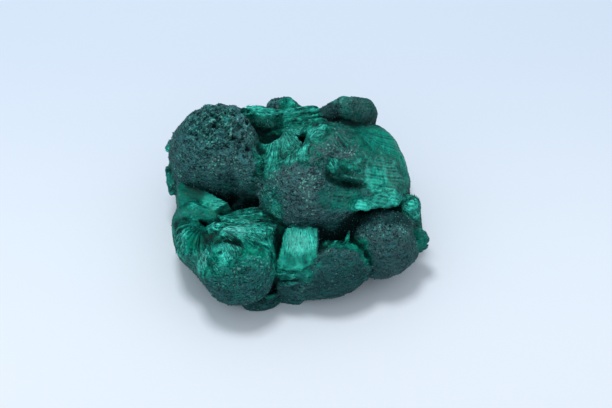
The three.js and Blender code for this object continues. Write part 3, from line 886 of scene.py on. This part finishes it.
def malachite():
    coat = Finish("malachite")
    growth = coat.attribute("growth", "Vector")
    reach, hollow, relief = (coat.attribute(name) for name in ("reach", "hollow", "relief"))
    crust, silk, band, grey, deep, rust, speck_amount = (coat.attribute(name) for name in FINISHES)
    place = coat.place()
    level = coat.scaled(place, (1, 1, 2.4))
    stretched = coat.scaled(place, (0.3, 1.2, 1.8))

    # Fibres: very fine across, long along the way they grew.
    fine = coat.noise(growth, 3.4, 4, 0.66, reach * 0.1)
    strand = coat.noise(growth, 1.3, 2, 0.6, reach * 0.06)
    broad = coat.noise(growth, 0.45, 2, 0.5, reach * 0.05)
    grain = coat.noise(level, 1700, 5, 0.8)
    patch = coat.noise(place, 260, 3, 0.6)
    cloud = coat.noise(level, 560, 4, 0.7)
    streak = coat.noise(stretched, 1500, 4, 0.75)
    crystal = coat.node("ShaderNodeTexVoronoi", None, {"Vector": level, "Scale": 3600}, out="Color")
    speck = coat.node("ShaderNodeTexVoronoi", None, {"Vector": place, "Scale": 2600}, out="Color")

    wave, slower = (reach.maths("SINE", reach * often + patch * 4) for often in (7.4, 2.6))
    ringed = wave * 0.75 + slower * 0.45 + (streak - 0.5) * 3 + (grain - 0.5) * 1.2

    # Quiet skin has a softer grain and less contrast.
    still = speck_amount.maths("MINIMUM", speck_amount, 0) * -1
    # A little lighter where the skin stands out: painted highlight.
    thread = fine * 0.26 + strand * 0.28 + broad * 0.1 + patch * 0.22 + cloud * 0.14 + relief * 0.03
    thread = coat.rise(thread, 0.435 - still * 0.15, 0.57 + still * 0.07)
    fibre = thread * (1 - band * 0.75) + band * 0.75 * coat.rise(ringed, -1.6, 1)
    green = coat.mix(fibre, (0, 0.02, 0.017), (0.001, 0.285, 0.218))
    emerald = coat.mix(fibre, (0, 0.019, 0.012), (0, 0.29, 0.16))
    green = coat.mix(coat.rise(patch * 0.5 + cloud * 0.5, 0.49, 0.57) * 0.6, green, emerald)
    # Pale fibre: the fibres' own light green, its brightest end partly painted sheen. Very silky quiet skin,
    # as on the block's flat break, is painted a whitish sheen.
    pale = coat.mix(fibre, (0.001, 0.09, 0.068), (0.075, 0.88, 0.7))
    pale = coat.mix(still * coat.rise(silk, 0.9, 1.8) * 0.6, pale, (0.3, 0.92, 0.84))
    uneven = ((broad - 0.5) * 1.6 + (cloud - 0.5) * 1.6) * (1 - still * 0.6)
    fresh = coat.mix(coat.rise(silk + uneven, 0.15, 1), green, pale)
    # Near black where the stone is darkened: mostly painted shade in recesses, under overhangs and on lower
    # sides, partly darker stone.
    fresh = coat.mix(coat.rise(deep + (cloud - 0.5) * 0.8, 0, 1) * 0.8, fresh, (0, 0.012, 0.011))

    # Crust: a felt of small dark crystals, mottled with greener stone, with painted glints on some of them.
    tone = crystal * 0.13 + grain * 0.33 + cloud * 0.3 + streak * 0.24
    tone = (tone - 0.5) * (1 - still * 0.45) + 0.5
    dark = coat.mix(coat.rise(tone, 0.42, 0.585), (0.0005, 0.008, 0.011), (0.044, 0.195, 0.202))
    moss = coat.mix(coat.rise(tone, 0.41, 0.58), (0, 0.018, 0.018), (0.008, 0.255, 0.205))
    mossy = (patch - 0.5) * 1.5 + (grain - 0.5) * 1.6 + silk * 0.8
    dark = coat.mix(coat.rise(mossy, 0.02, 0.3) * 0.8, dark, moss)
    # A grey tint over the crust, partly its own grey and partly painted sheen.
    grey_sheen_crust = coat.mix(grey * coat.rise(patch * 0.4 + crystal * 0.2 + streak * 0.4, 0.44, 0.57) * 0.85,
                     dark, (0.07, 0.094, 0.11))
    # Bright specks on the crust: painted glints of its crystals.
    sparkle = coat.rise(speck * 0.42 + patch * 0.33 + grain * 0.25 + speck_amount * 0.06, 0.645, 0.71)
    lit = coat.mix(sparkle * 0.85, grey_sheen_crust, (0.13, 0.44, 0.4))
    # Near black where the crust is darkened: mostly painted shade in recesses, under overhangs and on lower
    # sides, partly darker stone.
    lit = coat.mix(coat.rise(deep, 0, 1) * 0.68, lit, (0.001, 0.012, 0.013))

    cover = coat.rise(crust + (patch - 0.5) + (grain - 0.5) * 1.4 + (crystal - 0.5) * 0.3, 0.35, 0.65)
    colour = coat.mix(cover, fresh, lit)
    stripe = coat.rise(ringed, 0, 1.1) * band
    colour = coat.mix(stripe * 0.5 * coat.rise(grey + (patch - 0.5), 0, 0.8), colour, (0.06, 0.095, 0.105))
    # Grey flecks on the fibres, partly the stone's own grey and partly painted sheen.
    grey_sheen_flecks = coat.rise(crystal * 0.3 + streak * 0.4 + grain * 0.2 + patch * 0.2, 0.52, 0.66)
    colour = coat.mix(grey_sheen_flecks * grey * (1 - cover) * 0.6, colour, (0.095, 0.15, 0.16))
    colour = coat.mix(coat.rise(rust + (speck - 0.5) * 1.2, 0.4, 0.8) * 0.8, colour, (0.16, 0.06, 0.02))
    # Near black in hollows: painted shade, in part dark crust lodged in them.
    colour = coat.mix(coat.rise(hollow - relief * 0.25, 0, 0.9) * 0.85, colour, (0, 0.006, 0.007))
    # Lighter on ridges: painted highlight, in part wear of the edges.
    ridge = coat.rise(relief * 0.4 - hollow * 0.6, 0.15, 0.9)
    colour = coat.mix(ridge * 0.35, colour, (0.8, 1, 1), "SOFT_LIGHT")

    height = (cover * (grain * 0.5 + crystal * 0.5) + (1 - cover) * fibre) * (1 - still * 0.6)
    bump = coat.node("ShaderNodeBump", None, {"Strength": 0.8, "Distance": 0.25 * MM, "Height": height})
    return coat.done({"Base Color": colour, "Roughness": 0.48 + 0.24 * cover - 0.08 * silk, "Normal": bump,
                      "IOR": 1.5, "Specular IOR Level": SHEEN})


def loose_finish(name, dark, bright, odd, odd_kind):
    """A small crystal's finish: its own tint between dark and bright, with some in an odd colour."""
    coat = Finish(name)
    tint = coat.attribute("tint")
    place = coat.place()
    mottle = coat.noise(place, 1200, 2, 0.6)
    colour = coat.mix(coat.rise(tint * 0.8 + mottle * 0.3, 0.15, 1.05) ** 2.6, dark, bright)
    colour = coat.mix(coat.attribute(odd_kind) * coat.rise(mottle, 0.4, 0.6) * 0.8, colour, odd)
    return coat.done({"Base Color": colour, "Roughness": 0.35 + 0.3 * mottle, "IOR": 1.6,
                      "Specular IOR Level": 0.2})


stone = make_stone()
stone.data.materials.append(malachite())
# Grains are tinted grey where the crust is grey, partly painted sheen.
make_grains().data.materials.append(
    loose_finish("drusy_grain", (0.002, 0.018, 0.021), (0.09, 0.30, 0.29), (0.066, 0.088, 0.104), "grey"))
# Fibres in hollows and darkened zones are near black: painted shade.
make_splinters().data.materials.append(
    loose_finish("silky_fibre", (0.001, 0.060, 0.050), (0.09, 0.75, 0.64), (0.0, 0.015, 0.014), "deep"))

# ---- table, lamp and camera

floor_mesh = bpy.data.meshes.new("table_top")
floor_mesh.from_pydata([(-3, -3, 0), (3, -3, 0), (3, 3, 0), (-3, 3, 0)], [], [(0, 1, 2, 3)])
floor = put("table_top", floor_mesh)


def pale_paper():
    """Matt white paper, painted a little greyer towards the back: painted shade where the light falls off."""
    paper = Finish("pale_paper")
    back = paper.node("ShaderNodeSeparateXYZ", None, {0: paper.place()}, "Y")
    tone = paper.mix(paper.rise(back, 0.085, -0.045), (0.64, 0.74, 0.87), (0.80, 0.87, 0.95))
    return paper.done({"Base Color": tone, "Roughness": 0.7, "Specular IOR Level": 0.1})


floor_mesh.materials.append(pale_paper())

LAMP_AT, LAMP_AIM = Vector((-0.07, 0.12, 0.60)), Vector((0, 0, 0.01))
light = bpy.data.lights.new("soft_window", "AREA")
light.shape, light.size, light.energy = "SQUARE", 0.15, 1.68
window = put("soft_window", light)
window.location = LAMP_AT
window.rotation_mode = "QUATERNION"
window.rotation_quaternion = (LAMP_AIM - LAMP_AT).to_track_quat("-Z", "Y")

world = bpy.data.worlds.new("room")
world.use_nodes = True
air = world.node_tree.nodes["Background"].inputs
air["Color"].default_value = (0.92, 0.96, 1.0, 1)
air["Strength"].default_value = 0.66
bpy.context.scene.world = world
bpy.context.scene.view_settings.view_transform = "Standard"

AIM = np.array([1.93, -1.52, 13.38]) * MM
ELEVATION = math.radians(52)
DISTANCE = 0.4054
camera_data = bpy.data.cameras.new("camera")
camera_data.lens, camera_data.sensor_width = 100, 36
camera_data.clip_start, camera_data.clip_end = 0.01, 20
camera = put("camera", camera_data)
camera.location = AIM + DISTANCE * np.array([0, -math.cos(ELEVATION), math.sin(ELEVATION)])
camera.rotation_euler = (math.pi / 2 - ELEVATION, 0, 0)
bpy.context.scene.camera = camera
